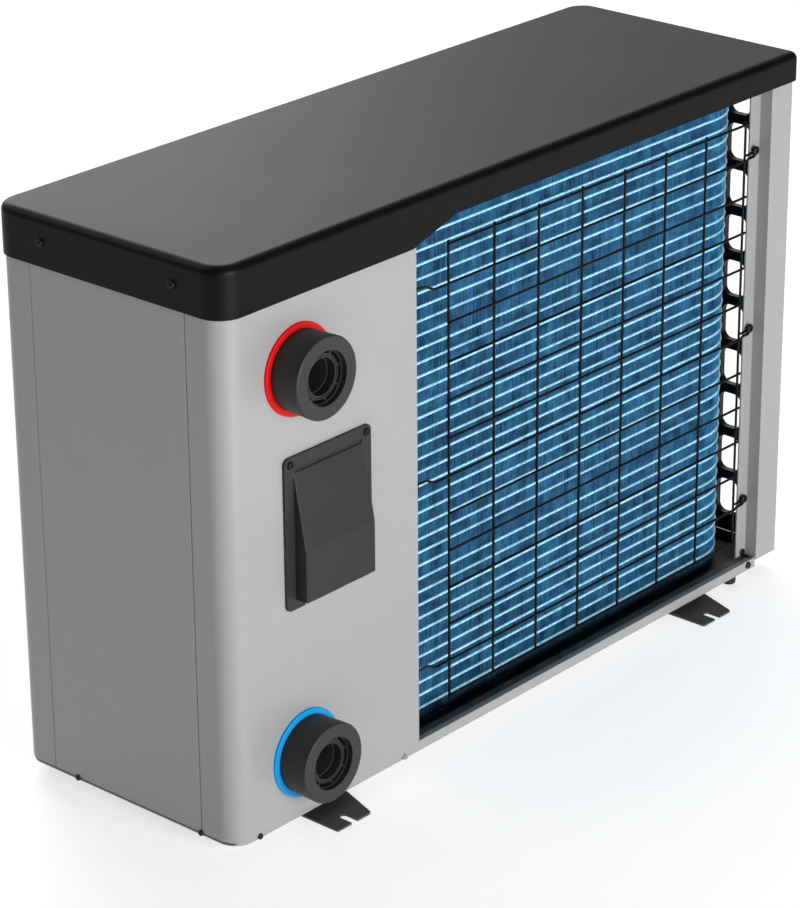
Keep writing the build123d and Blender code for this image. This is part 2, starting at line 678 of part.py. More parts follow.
def partition_wall():
    """Sheet wall between the fan chamber and the compressor chamber."""
    x0 = COIL_RIGHT + 1.5
    wall = block(x0, x0 + SHEET, FRONT + 3, 92, FLOOR_GAP + PAN_SHEET, 640)
    return wall - block(x0 - 1, x0 + 3, 82, 95, COIL_Z0 - 2, COIL_Z1 + 2)


def compressor():
    x, y = COMPRESSOR
    shell = rod_z(x, y, COMPRESSOR_R, 40, 300)
    shell = fillet(shell.edges().filter_by(GeomType.CIRCLE), 22)
    feet = extrude(RegularPolygon(72, 3), 4)
    feet = fillet(feet.edges().filter_by(Axis.Z), 14)
    shell += Pos(x, y, 38) * feet
    shell += rod_z(x, y, 7, 298, 306)
    shell += block(x - 22, x + 22, y - 62, y - 40, 230, 262)
    holes = [rod_z(px, py, 5.2, 30, 50) for px, py in compressor_feet_places()]
    return shell - holes


def compressor_feet_places():
    """Centres of the three rubber mounts."""
    x, y = COMPRESSOR
    radius = 50.0
    angles = [math.radians(120 * k) for k in range(3)]
    return [(x + radius * math.cos(angle), y + radius * math.sin(angle)) for angle in angles]


def compressor_mounts():
    """Rubber mounts under the compressor's feet, with their studs' holes."""
    mounts = []
    for x, y in compressor_feet_places():
        mount = rod_z(x, y, 11, FLOOR_GAP + PAN_SHEET, 38)
        mounts.append(mount - rod_z(x, y, 3.2, FLOOR_GAP, 40))
    return Compound(children=mounts)


def accumulator():
    """Suction accumulator beside the compressor, with its strap and lower bend."""
    x, y = ACCUMULATOR
    tank = rod_z(x, y, ACCUMULATOR_R, 90, 262)
    tank = fillet(tank.edges().filter_by(GeomType.CIRCLE), 18)
    tank += rod_z(x, y, SUCTION_R, 260, 272)
    cx, cy = COMPRESSOR
    strap = block(cx + COMPRESSOR_R - 2, x - ACCUMULATOR_R + 2, y - 2, y + 2, 180, 204)
    return (tank + strap) - rod_z(cx, cy, COMPRESSOR_R, 30, 320)


def heat_exchanger_shell():
    """Tall plastic shell round the titanium coil."""
    shell = rod_z(UNION_X, SHELL_Y, SHELL_R, 24, 570)
    shell = fillet(shell.edges().filter_by(GeomType.CIRCLE), 16)
    shell -= rod_z(UNION_X, SHELL_Y, SHELL_R - 6, 30, 564)
    shell += block(UNION_X - 60, UNION_X + 60, SHELL_Y - 40, SHELL_Y + 40, FLOOR_GAP + PAN_SHEET, 27)
    for z in (OUTLET_Z, INLET_Z):
        shell -= rod_y(UNION_X, z, 28.1, SHELL_Y, REAR)
    return shell


def titanium_coil():
    """Close-wound titanium coil inside the shell, as the sleeve that its turns fill."""
    coil = rod_z(UNION_X, SHELL_Y, 58, 120, 480) - rod_z(UNION_X, SHELL_Y, 40, 119, 481)
    return coil


def water_nozzle(z):
    """Threaded water connection from the shell through the rear panel."""
    back = REAR - SHEET
    nozzle = rod_y(UNION_X, z, 28, SHELL_Y + SHELL_R - 12, back - 12)
    nozzle += rod_y(UNION_X, z, 44, back - 12, back)
    nozzle += rod_y(UNION_X, z, THREAD_R, back, THREAD_END)
    if z == INLET_Z:
        nozzle += rod_z(UNION_X, back - 31, 13, z, z + 31)
    nozzle -= rod_y(UNION_X, z, WATER_BORE - 1, SHELL_Y, THREAD_END + 1)
    groove = rod_y(UNION_X, z, 28, THREAD_END - 2.4, THREAD_END + 1)
    groove -= rod_y(UNION_X, z, 24, THREAD_END - 3, THREAD_END + 2)
    return nozzle - groove


def union_seals():
    """Square-section seals in the two nozzle ends."""
    seals = []
    for z in (OUTLET_Z, INLET_Z):
        ring = rod_y(UNION_X, z, 28, THREAD_END - 2.4, THREAD_END)
        seals.append(ring - rod_y(UNION_X, z, 24, THREAD_END - 3, THREAD_END + 1))
    return Compound(children=seals)


def colour_ring(z):
    """Flat marking ring round a union."""
    ring = rod_y(UNION_X, z, RING_R, REAR, REAR + RING_THICK)
    ring = fillet(ring.edges().group_by(Axis.Y)[-1], 1.2)
    return ring - rod_y(UNION_X, z, THREAD_R + 0.5, REAR - 1, REAR + RING_THICK + 1)


def union_nut(z):
    """Smooth union nut, a little wider at its face, with an inner lip there."""
    back = REAR + RING_THICK + 0.5
    profile = [(0, back), (NUT_R - 1.2, back), (NUT_R, NUT_FACE), (0, NUT_FACE)]
    nut = Pos(UNION_X, 0, z) * revolve(make_face(Polyline(*profile, close=True)), Axis.Y)
    nut = fillet(nut.edges().group_by(Axis.Y)[-1], 2.0)
    nut = chamfer(nut.edges().group_by(Axis.Y)[0], 0.8)
    nut -= rod_y(UNION_X, z, THREAD_R + 0.4, back - 1, NUT_FACE - LIP_DEPTH)
    nut -= rod_y(UNION_X, z, 29.5, NUT_FACE - LIP_DEPTH - 1, NUT_FACE + 1)
    return nut


def union_tail(z):
    """Union end piece, under the nut's lip: a flange, a trough crossed by ribs, and the pipe socket."""
    back = THREAD_END + 0.3
    face = NUT_FACE - LIP_DEPTH - 0.4
    tail = rod_y(UNION_X, z, 33.5, back, face)
    trough = rod_y(UNION_X, z, 28.2, back + 1.6, face + 1) - rod_y(UNION_X, z, 24.4, back, face + 2)
    rib = block(-1.2, 1.2, back + 1, face - 2.0, 24.0, 28.8)
    ribs = Part()
    for k in range(RIBS):
        ribs += Pos(UNION_X, 0, z) * Rot(0, 360 / RIBS * k + 12, 0) * rib
    tail = tail - trough + ribs
    tail -= rod_y(UNION_X, z, 24.5, face - 1.0, face + 2)
    tail -= rod_y(UNION_X, z, 22.8, face - 2.2, face + 2) - rod_y(UNION_X, z, 21.8, 0, face + 3)
    return tail - rod_y(UNION_X, z, WATER_BORE, back - 1, face + 2)


def flow_switch():
    """Flow sensor on the inlet nozzle's boss."""
    y = REAR - SHEET - 31
    base = rod_z(UNION_X, y, 12, INLET_Z + 31, INLET_Z + 40)
    head = block(UNION_X - 14, UNION_X + 14, y - 9, y + 9, INLET_Z + 40, INLET_Z + 62)
    head = fillet(head.edges().filter_by(Axis.Z), 3)
    return base + head


def four_way_valve():
    """Reversing valve: a closed cylinder with one stub above and three below."""
    body = rod((204, VALVE_Y, VALVE_Z), (290, VALVE_Y, VALVE_Z), 14)
    body = fillet(body.edges().filter_by(GeomType.CIRCLE), 5)
    body += rod_z(246, VALVE_Y, 6.5, VALVE_Z, VALVE_Z + 30)
    for x in (220, 246, 272):
        body += rod_z(x, VALVE_Y, 7.6, VALVE_Z - 14 - 16, VALVE_Z)
    body += rod((215, VALVE_Y - 20, VALVE_Z), (265, VALVE_Y - 20, VALVE_Z), 6)
    body += block(236, 244, VALVE_Y - 22, VALVE_Y - 8, VALVE_Z - 4, VALVE_Z + 4)
    return body


def discharge_pipe():
    x, y = COMPRESSOR
    top = VALVE_Z + 30
    points = [
        (x, y, 306), (x, y, 350), (246, -10, 350), (246, -10, top + 30), (246, VALVE_Y, top + 30),
        (246, VALVE_Y, top),
    ]
    return bent_pipe(points, PIPE_R, 13)


def suction_pipe():
    x, y = ACCUMULATOR
    low = VALVE_Z - 30
    points = [(246, VALVE_Y, low), (246, VALVE_Y, 330), (300, -50, 330), (x, y, 330), (x, y, 272)]
    return bent_pipe(points, SUCTION_R, 18)


def gas_pipes():
    """Pipes from the reversing valve to the exchanger and to the coil's header."""
    low = VALVE_Z - 30
    warm_run = [(272, VALVE_Y, low), (272, VALVE_Y, 346), (UNION_X - SHELL_R, VALVE_Y, 346)]
    coil_run = [(220, VALVE_Y, low), (220, VALVE_Y, 356), (222, 107, 356), (222, 107, 340)]
    to_shell = bent_pipe(warm_run, SUCTION_R, 14)
    to_coil = bent_pipe(coil_run, SUCTION_R, 9)
    return Compound(children=[to_shell, to_coil])


def expansion_valve():
    """Electronic expansion valve with its coil."""
    body = rod_z(262, VALVE_Y, 9, 130, 200)
    body += rod((262, VALVE_Y, 150), (246, VALVE_Y, 150), 5)
    coil = rod_z(262, VALVE_Y, 19, 172, 196)
    return body + fillet(coil.edges().filter_by(GeomType.CIRCLE), 3)


def liquid_pipes():
    """Pipes from the exchanger to the expansion valve and on to the coil."""
    warm = bent_pipe([(UNION_X - SHELL_R, VALVE_Y, 90), (262, VALVE_Y, 90), (262, VALVE_Y, 130)], 3.2, 12)
    points = [(246, VALVE_Y, 150), (214, VALVE_Y, 150), (214, 86, 150), (COIL_RIGHT + 1.5, 86, 150)]
    cold = bent_pipe(points, 3.2, 10)
    return Compound(children=[warm, cold])


def control_box():
    """Open sheet box for the control board, over the compressor."""
    outer = block(192, 330, -152, -36, 470, 600)
    return outer - block(193.2, 328.8, -150.8, -35, 471.2, 598.8)


def control_board():
    """Control board with its larger parts."""
    board = block(200, 322, -146, -144.4, 478, 592)
    for x, z, r, h in ((220, 500, 10, 34), (246, 500, 10, 34), (300, 570, 8, 24)):
        board += rod_y(x, z, r, -144.4, -144.4 + h)
    board += block(264, 310, -144.4, -122, 488, 524)
    board += block(210, 250, -144.4, -128, 540, 580)
    return board


def control_board_posts():
    """Stand-offs between the board and the box."""
    posts = [rod_y(x, z, 3, -150.8, -146) for x in (206, 316) for z in (484, 586)]
    return Compound(children=posts)


def display_housing():
    """Touch control on the front, let into the panel."""
    body = block(262, 402, FRONT - 5, FRONT, 452, 532)
    body = fillet(body.edges().filter_by(Axis.Y), 8)
    body = fillet(body.edges().group_by(Axis.Y)[0], 1.8)
    return body - block(272, 392, FRONT - 6, FRONT - 3.6, 462, 522)


def display_window():
    """Smoked touch window in the control housing."""
    return block(272.2, 391.8, FRONT - 4.8, FRONT - 3.6, 462.2, 521.8)


def foot_bolts():
    """Bolts that hold the pan down on the floor rails."""
    bolts = []
    for x in FOOT_X:
        for dx in (-FOOT_HALF_WIDTH - FOOT_FLARE + 9, FOOT_HALF_WIDTH - 9):
            for y in (-136, 136):
                head = Pos(x + dx, y, FLOOR_GAP + PAN_SHEET) * extrude(RegularPolygon(5.5, 6), 4)
                bolts.append(head)
    return Compound(children=bolts)


def base_screws():
    """Small screws along the cabinet's bottom edge, and a larger one in the open rim."""
    group = screw_group(BASE_SCREWS, 3.4, 2.2, 2.0, 8.0)
    return Compound(children=list(group.children) + [screw(*RIM_SCREW, 4.4, 2.4, 2.0, 6.0)])


def save(name, shape):
    """Writes one named piece."""
    export_step(shape, "parts/" + name + ".step")


def main():
    os.makedirs("parts", exist_ok=True)
    pieces = {
        "base_pan": base_pan(),
        "drain_spout": drain_spout(),
        "foot_rail_right": foot_bracket(FOOT_X[0]),
        "foot_rail_left": foot_bracket(FOOT_X[1]),
        "foot_bolts": foot_bolts(),
        "front_panel": front_panel(),
        "side_panel": side_panel(),
        "rear_fitting_panel": rear_fitting_panel(),
        "rear_corner_post": rear_corner_post(),
        "side_grille": side_grille(),
        "lid": lid(),
        "lid_screws": screw_group(LID_SCREWS, 4.6, 2.7, 2.0, 8.0),
        "base_screws": base_screws(),
        "wire_guard": wire_guard(),
        "guard_screws": guard_screws(),
        "wiring_cover": wiring_cover(),
        "cover_screws": screw_group(COVER_SCREWS, 4.2, 2.4, 1.7, 6.0),
        "cable_grommets": cable_grommets(),
        "terminal_block": terminal_block(),
        "evaporator_fins": coil_plan(),
        "tube_sheet_rear": tube_sheet_rear(),
        "tube_sheet_front": tube_sheet_front(),
        "return_bends_rear": u_bends(COIL_RIGHT + 1.5, "x"),
        "return_bends_front": u_bends(COIL_FRONT - 1.5, "y"),
        "coil_header": coil_header(),
        "fan_guard": fan_guard(),
        "fan_guard_screws": screw_group(fan_guard_screw_places(), 4.4, 2.6, 2.0, 8.0),
        "fan_orifice": fan_orifice(),
        "fan_rotor": fan_rotor(),
        "fan_shaft": fan_shaft(),
        "fan_nut": fan_nut(),
        "fan_motor": fan_motor(),
        "motor_bracket": motor_bracket(),
        "partition_wall": partition_wall(),
        "compressor": compressor(),
        "compressor_mounts": compressor_mounts(),
        "accumulator": accumulator(),
        "heat_exchanger_shell": heat_exchanger_shell(),
        "titanium_coil": titanium_coil(),
        "outlet_nozzle": water_nozzle(OUTLET_Z),
        "inlet_nozzle": water_nozzle(INLET_Z),
        "union_seals": union_seals(),
        "outlet_ring": colour_ring(OUTLET_Z),
        "inlet_ring": colour_ring(INLET_Z),
        "outlet_union_nut": union_nut(OUTLET_Z),
        "inlet_union_nut": union_nut(INLET_Z),
        "outlet_union_tail": union_tail(OUTLET_Z),
        "inlet_union_tail": union_tail(INLET_Z),
        "flow_switch": flow_switch(),
        "four_way_valve": four_way_valve(),
        "discharge_pipe": discharge_pipe(),
        "suction_pipe": suction_pipe(),
        "gas_pipes": gas_pipes(),
        "expansion_valve": expansion_valve(),
        "liquid_pipes": liquid_pipes(),
        "control_box": control_box(),
        "control_board": control_board(),
        "board_posts": control_board_posts(),
        "display_housing": display_housing(),
        "display_window": display_window(),
    }
    for name, shape in pieces.items():
        save(name, shape)


main()
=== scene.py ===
import bpy
import json
import math
import random
from mathutils import Matrix, Vector


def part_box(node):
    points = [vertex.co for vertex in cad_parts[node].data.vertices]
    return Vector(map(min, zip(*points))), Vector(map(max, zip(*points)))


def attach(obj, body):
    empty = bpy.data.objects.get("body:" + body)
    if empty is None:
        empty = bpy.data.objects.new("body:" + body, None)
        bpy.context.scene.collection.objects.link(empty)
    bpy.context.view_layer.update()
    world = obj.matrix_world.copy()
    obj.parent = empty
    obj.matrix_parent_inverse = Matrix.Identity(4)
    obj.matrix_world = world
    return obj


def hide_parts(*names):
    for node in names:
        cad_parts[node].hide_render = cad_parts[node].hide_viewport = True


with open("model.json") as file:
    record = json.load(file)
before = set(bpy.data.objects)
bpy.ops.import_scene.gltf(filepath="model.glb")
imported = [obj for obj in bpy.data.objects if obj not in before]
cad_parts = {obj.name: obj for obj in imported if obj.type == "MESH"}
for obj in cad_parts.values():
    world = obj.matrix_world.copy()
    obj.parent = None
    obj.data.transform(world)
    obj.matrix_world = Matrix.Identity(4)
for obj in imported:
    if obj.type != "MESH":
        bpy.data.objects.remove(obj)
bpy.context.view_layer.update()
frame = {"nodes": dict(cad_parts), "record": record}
nodes = frame["nodes"]
record = frame["record"]

MM = 0.001
SEED = 7

# ---------------------------------------------------------------- measures

# The coil, as in the CAD: its box, how deep it is, and the outer radius of its one bend.
COIL_LOW, COIL_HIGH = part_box("evaporator_fins")
COIL_DEPTH = 38 * MM
COIL_BEND = 70 * MM

# Its outer face, from the end by the unions: a straight along X, the bend round this centre, and
# a straight along Y.
BEND_X = COIL_LOW.x + COIL_BEND
BEND_Y = COIL_HIGH.y - COIL_BEND
COIL_STRAIGHT = COIL_HIGH.x - BEND_X
COIL_ARC = COIL_BEND * math.pi / 2
COIL_LENGTH = COIL_STRAIGHT + COIL_ARC + (BEND_Y - COIL_LOW.y)

FAN_LOW, FAN_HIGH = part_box("fan_orifice")
FAN_CENTRE = (FAN_LOW + FAN_HIGH) / 2
FAN_AXIS = Vector((FAN_CENTRE.x, 0, FAN_CENTRE.z))
GUARD_LOW, GUARD_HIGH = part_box("fan_guard")


# ---------------------------------------------------------------- camera, lights and floor

# The photograph's viewpoint: angles in degrees, place in metres, lens and sensor in millimetres.
VIEW_AZIMUTH = 48.516
VIEW_ELEVATION = 23.297
VIEW_ROLL = -0.4733
CAMERA_PLACE = (2.7103, 2.3659, 1.81065)
LENS = 136.33
SENSOR_WIDTH = 36
CLIP_END = 100

# Area lights: place, target, size in metres, power in watts.
LIGHTS = {
    "key": ((0.75, 4.6, 1.05), (0, 0.1, 0.25), (2.2, 1.8), 238),
    "card": ((-2.2, -4.1, 2.6), (0, 0, 0.66), (3.2, 2.4), 82),
    "edge": ((1.7, -2.2, 2.9), (0.2, 0, 0.66), (2.6, 2.0), 34),
    "top": ((0.2, 0.2, 4.2), (0, 0, 0), (4.5, 4.5), 20),
}
GLOSS_ONLY = "edge"

# The sky's bright part: the direction of its middle, the strengths outside and in it, and the
# cosines of the angle from that middle at which it starts and is full.
SKY_GLOW_MIDDLE = (-0.66, -0.62, 0.42)
SKY_STRENGTHS = (0.07, 1.3)
SKY_GLOW_EDGES = (0.72, 1.0)

FLOOR_SIZE = 60
FLOOR_TONE = (0.8, 0.8, 0.8, 1)
FLOOR_ROUGHNESS = 0.6
FLOOR_GLOW = 0.54
WHITE = (1, 1, 1, 1)


def add_camera():
    """Above and beside the corner between the unions and the rear."""
    azimuth = math.radians(VIEW_AZIMUTH)
    elevation = math.radians(VIEW_ELEVATION)
    roll = math.radians(VIEW_ROLL)
    forward = Vector((
        -math.cos(elevation) * math.sin(azimuth),
        -math.cos(elevation) * math.cos(azimuth),
        -math.sin(elevation),
    ))
    right = Vector((-math.cos(azimuth), math.sin(azimuth), 0))
    up = right.cross(forward)
    rolled_right = math.cos(roll) * right + math.sin(roll) * up
    rolled_up = -math.sin(roll) * right + math.cos(roll) * up
    data = bpy.data.cameras.new("camera")
    data.sensor_width = SENSOR_WIDTH
    data.lens = LENS
    data.clip_end = CLIP_END
    camera = bpy.data.objects.new("camera", data)
    bpy.context.scene.collection.objects.link(camera)
    turn = Matrix((rolled_right, rolled_up, -forward)).transposed().to_4x4()
    camera.matrix_world = Matrix.Translation(CAMERA_PLACE) @ turn
    bpy.context.scene.camera = camera


def add_area(name, place, target, size, power):
    data = bpy.data.lights.new(name, "AREA")
    data.shape = "RECTANGLE"
    data.size = size[0]
    data.size_y = size[1]
    data.energy = power
    lamp = bpy.data.objects.new(name, data)
    bpy.context.scene.collection.objects.link(lamp)
    lamp.location = place
    lamp.rotation_mode = "QUATERNION"
    lamp.rotation_quaternion = (Vector(target) - Vector(place)).to_track_quat("-Z", "Y")
    return lamp


def add_sky():
    """A weak sky with a bright part low beyond the front's far corner, which the lid mirrors."""
    world = bpy.data.worlds.new("studio")
    bpy.context.scene.world = world
    world.use_nodes = True
    tree = world.node_tree
    sky = tree.nodes["Background"]
    sky.inputs["Color"].default_value = WHITE
    coords = node(tree, "ShaderNodeTexCoord")
    toward = node(tree, "ShaderNodeVectorMath", operation="DOT_PRODUCT")
    toward.inputs[1].default_value = Vector(SKY_GLOW_MIDDLE).normalized()
    tree.links.new(coords.outputs["Generated"], toward.inputs[0])
    glow = spread(tree, toward.outputs["Value"], *SKY_STRENGTHS, *SKY_GLOW_EDGES)
    tree.links.new(glow, sky.inputs["Strength"])


def add_lights():
    """The sky and the area lights; one only makes highlights, on the lid's rounded edges."""
    add_sky()
    for name, (place, target, size, power) in LIGHTS.items():
        lamp = add_area(name, place, target, size, power)
        lamp.visible_diffuse = name != GLOSS_ONLY
    bpy.context.scene.view_settings.view_transform = "Standard"


def add_floor():
    """A white floor that glows a little, so that it fades into a white background."""
    bpy.ops.mesh.primitive_plane_add(size=FLOOR_SIZE, location=(0, 0, 0))
    floor = bpy.context.object
    floor.name = "floor"
    material, _, shader = start_material("floor")
    shader.inputs["Base Color"].default_value = FLOOR_TONE
    shader.inputs["Roughness"].default_value = FLOOR_ROUGHNESS
    shader.inputs["Emission Color"].default_value = WHITE
    shader.inputs["Emission Strength"].default_value = FLOOR_GLOW
    floor.data.materials.append(material)


# ---------------------------------------------------------------- shader nodes

def node(tree, kind, **values):
    """Adds a shader node; values are its settings or its inputs' numbers."""
    made = tree.nodes.new(kind)
    for key, value in values.items():
        if hasattr(made, key):
            setattr(made, key, value)
        else:
            made.inputs[key.replace("_", " ")].default_value = value
    return made


def start_material(name):
    """A new material, with its node tree and its surface shader."""
    material = bpy.data.materials.new(name)
    material.use_nodes = True
    tree = material.node_tree
    return material, tree, tree.nodes["Principled BSDF"]


def place_texture(tree, stretch=(1, 1, 1)):
    """Object coordinates, which are the frame's own metres, stretched per axis."""
    coords = node(tree, "ShaderNodeTexCoord")
    mapping = node(tree, "ShaderNodeMapping")
    mapping.inputs["Scale"].default_value = stretch
    tree.links.new(coords.outputs["Object"], mapping.inputs["Vector"])
    return mapping.outputs["Vector"]


def noise(tree, vector, scale, detail=3.0, rough=0.55):
    made = node(tree, "ShaderNodeTexNoise", Scale=scale, Detail=detail, Roughness=rough)
    tree.links.new(vector, made.inputs["Vector"])
    return made.outputs["Fac"]


def spread(tree, value, low, high, from_low=0.3, from_high=0.7):
    """Maps a value's range to a chosen one; the default suits noise, which seldom leaves it."""
    made = node(tree, "ShaderNodeMapRange")
    made.inputs["From Min"].default_value = from_low
    made.inputs["From Max"].default_value = from_high
    made.inputs["To Min"].default_value = low
    made.inputs["To Max"].default_value = high
    tree.links.new(value, made.inputs["Value"])
    return made.outputs["Result"]


def blend_sockets(tree, factor, low, high):
    """Mixes two colours; each is a socket or a plain (r, g, b)."""
    made = node(tree, "ShaderNodeMix", data_type="RGBA")
    sockets = [socket for socket in made.inputs if socket.type == "RGBA"]
    for socket, colour in zip(sockets, (low, high)):
        if isinstance(colour, tuple):
            socket.default_value = (*colour, 1)
        else:
            tree.links.new(colour, socket)
    tree.links.new(factor, made.inputs["Factor"])
    return [socket for socket in made.outputs if socket.type == "RGBA"][0]


def axis_value(tree, axis):
    """One object coordinate, in metres."""
    coords = node(tree, "ShaderNodeTexCoord")
    split = node(tree, "ShaderNodeSeparateXYZ")
    tree.links.new(coords.outputs["Object"], split.inputs["Vector"])
    return split.outputs[axis]


def rising(tree, axis, start, full):
    """A mask along an axis, in metres: 0 before start, 1 after full."""
    return spread(tree, axis_value(tree, axis), 0, 1, start, full)


def falling(tree, axis, full, end):
    """A mask along an axis, in metres: 1 before full, 0 after end."""
    return spread(tree, axis_value(tree, axis), 1, 0, full, end)


def product(tree, first, second):
    made = node(tree, "ShaderNodeMath", operation="MULTIPLY")
    tree.links.new(first, made.inputs[0])
    tree.links.new(second, made.inputs[1])
    return made.outputs["Value"]


def scaled(colour, amount):
    return tuple(c * amount for c in colour)


def bump(tree, shader, height, strength, distance, edge=0.0):
    """A bump from a height value, over softly rounded edges where edge is the rounding radius."""
    made = node(tree, "ShaderNodeBump")
    made.inputs["Strength"].default_value = strength
    made.inputs["Distance"].default_value = distance
    tree.links.new(height, made.inputs["Height"])
    if edge:
        bevel = node(tree, "ShaderNodeBevel", samples=6)
        bevel.inputs["Radius"].default_value = edge
        tree.links.new(bevel.outputs["Normal"], made.inputs["Normal"])
    tree.links.new(made.outputs["Normal"], shader.inputs["Normal"])


# ---------------------------------------------------------------- materials

# Colours are linear (r, g, b).
PAINT = (0.278, 0.278, 0.279)
SCREW_BLACK = (0.004, 0.004, 0.0045)

# surface()'s cloud pattern, and how strongly its grain shows.
CLOUD_SCALE = 9.0
CLOUD_DETAIL = 4.0
GRAIN_DETAIL = 2.0
GRAIN_STRENGTH = 0.35


def surface(
    name, colour, rough, grain=1500.0, depth=0.02, shade=0.12, uneven=0.12, metal=0.0, edge=0.0,
    specular=0.5,
):
    """A solid finish: cloudy colour, uneven gloss and a fine grain. Its depth is in millimetres."""
    material, tree, shader = start_material(name)
    vector = place_texture(tree)
    clouds = noise(tree, vector, CLOUD_SCALE, CLOUD_DETAIL)
    fine = noise(tree, vector, grain, GRAIN_DETAIL)
    dark, light = scaled(colour, 1 - shade), scaled(colour, 1 + shade)
    tone = blend_sockets(tree, spread(tree, clouds, 0, 1), dark, light)
    tree.links.new(tone, shader.inputs["Base Color"])
    gloss = spread(tree, clouds, rough * (1 - uneven), min(1, rough * (1 + uneven)))
    tree.links.new(gloss, shader.inputs["Roughness"])
    shader.inputs["Metallic"].default_value = metal
    shader.inputs["Specular IOR Level"].default_value = specular
    bump(tree, shader, fine, GRAIN_STRENGTH, depth * MM, edge)
    return material


def plain_colour(material):
    """A surface() material's tree, its shader, and the socket its colour comes from."""
    tree = material.node_tree
    shader = tree.nodes["Principled BSDF"]
    return tree, shader, shader.inputs["Base Color"].links[0].from_socket


def painted_steel():
    """The cabinet's light grey paint."""
    return surface("painted_steel", PAINT, 0.35, grain=700, depth=0.02, shade=0.015, edge=1.5 * MM)


def painted_pan():
    """The cabinet's paint, with painted shade in the pan and lighter painted shade on its lip's top.
    """
    material = surface(
        "painted_steel_pan", PAINT, 0.45, grain=700, depth=0.03, shade=0.03, edge=0.8 * MM,
    )
    tree, shader, paint_tone = plain_colour(material)
    shade_dark, shade_light = (0.004, 0.004, 0.004), (0.03, 0.027, 0.025)
    lip_shade = (0.17, 0.165, 0.16)
    low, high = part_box("base_pan")
    # Where the pan's painted shade starts and is full: in from the rear rim, up from the underside.
    shade_in, shade_in_full = 6 * MM, 9 * MM
    shade_up, shade_up_full = 1.2 * MM, 1.5 * MM
    inside = falling(tree, "Y", high.y - shade_in_full, high.y - shade_in)
    above = rising(tree, "Z", low.z + shade_up, low.z + shade_up_full)
    # Painted shade inside the pan: near black, mottled.
    mottle = noise(tree, place_texture(tree), scale=38, detail=4.0)
    pan_shade = blend_sockets(tree, spread(tree, mottle, 0, 1), shade_dark, shade_light)
    # Where the lip's painted shade starts and is full: in from the rear rim, up to the lip's top.
    lip_in, lip_in_full = 0.8 * MM, 1.8 * MM
    lip_below, lip_below_full = 1.5 * MM, 0.5 * MM
    folded = falling(tree, "Y", high.y - lip_in_full, high.y - lip_in)
    level = rising(tree, "Z", high.z - lip_below, high.z - lip_below_full)
    paint_tone = blend_sockets(tree, product(tree, folded, level), paint_tone, lip_shade)
    tone = blend_sockets(tree, product(tree, inside, above), paint_tone, pan_shade)
    tree.links.new(tone, shader.inputs["Base Color"])
    return material


def base_screw_finish():
    """Black screws, but the one under the fitting panel's open end is painted over."""
    material = surface("base_screws", SCREW_BLACK, 0.4, grain=3000, depth=0.01, specular=0.3)
    tree, shader, black = plain_colour(material)
    # That screw stands alone between these two places along X, in metres.
    start, end, ramp = 0.205, 0.225, 0.001
    after = rising(tree, "X", start, start + ramp)
    before = falling(tree, "X", end, end + ramp)
    tone = blend_sockets(tree, product(tree, after, before), black, PAINT)
    tree.links.new(tone, shader.inputs["Base Color"])
    return material


def low_painted_shade(tree):
    """Painted shade: almost 0 at the coil's bottom, where the pan shades it, and 1 above it."""
    least = 0.02
    start, full = COIL_LOW.z + 3 * MM, COIL_LOW.z + 24 * MM
    return spread(tree, axis_value(tree, "Z"), least, 1, start, full)


def fin_coating():
    """Blue coating on thin aluminium: streaks down each fin, patches; painted highlight and shade."""
    material, tree, shader = start_material("blue_fins")
    dark, light, pale = (0.010, 0.060, 0.17), (0.072, 0.345, 0.64), (0.42, 0.72, 0.88)
    shaded = (0.001, 0.002, 0.004)
    streak = noise(tree, place_texture(tree, stretch=(1, 1, 0.05)), scale=420)
    patch = noise(tree, place_texture(tree), scale=60, detail=4.0)
    stops = ((0.12, dark), (0.40, light))
    ramp = node(tree, "ShaderNodeValToRGB")
    for k, (place, colour) in enumerate(stops):
        ramp.color_ramp.elements[k].position = place
        ramp.color_ramp.elements[k].color = (*colour, 1)
    tree.links.new(product(tree, streak, patch), ramp.inputs["Fac"])
    # Painted highlight: a pale band where the bend has turned this far, the last of it in view.
    band_turn = math.radians(41)
    middle = COIL_LOW.x + COIL_BEND * (1 - math.sin(band_turn))
    before = falling(tree, "X", middle + 4 * MM, middle + 16 * MM)
    after = rising(tree, "X", middle - 14 * MM, middle - 6 * MM)
    bend = product(tree, before, after)
    with_painted_highlight = blend_sockets(tree, bend, ramp.outputs["Color"], pale)
    # Painted shade: the fins darken to near black towards the coil's bottom.
    tone = blend_sockets(tree, low_painted_shade(tree), shaded, with_painted_highlight)
    tree.links.new(tone, shader.inputs["Base Color"])
    shader.inputs["Metallic"].default_value = 0.1
    tree.links.new(spread(tree, patch, low=0.35, high=0.55), shader.inputs["Roughness"])
    bump(tree, shader, streak, strength=0.4, distance=0.05 * MM)
    return material


def collar_coating():
    """Pale blue of the fin collars that line up over each tube."""
    material, tree, shader = start_material("blue_fins_collars")
    dull, bright, shaded = (0.20, 0.53, 0.73), (0.44, 0.82, 0.93), (0.002, 0.005, 0.01)
    streak = noise(tree, place_texture(tree, stretch=(1, 1, 0.2)), scale=330)
    pale = blend_sockets(tree, spread(tree, streak, 0, 1, from_low=0.35, from_high=0.65), dull, bright)
    # Painted shade: the collars darken to near black towards the coil's bottom.
    tone = blend_sockets(tree, low_painted_shade(tree), shaded, pale)
    tree.links.new(tone, shader.inputs["Base Color"])
    shader.inputs["Metallic"].default_value = 0.05
    shader.inputs["Roughness"].default_value = 0.35
    bump(tree, shader, streak, strength=0.5, distance=0.2 * MM)
    return material


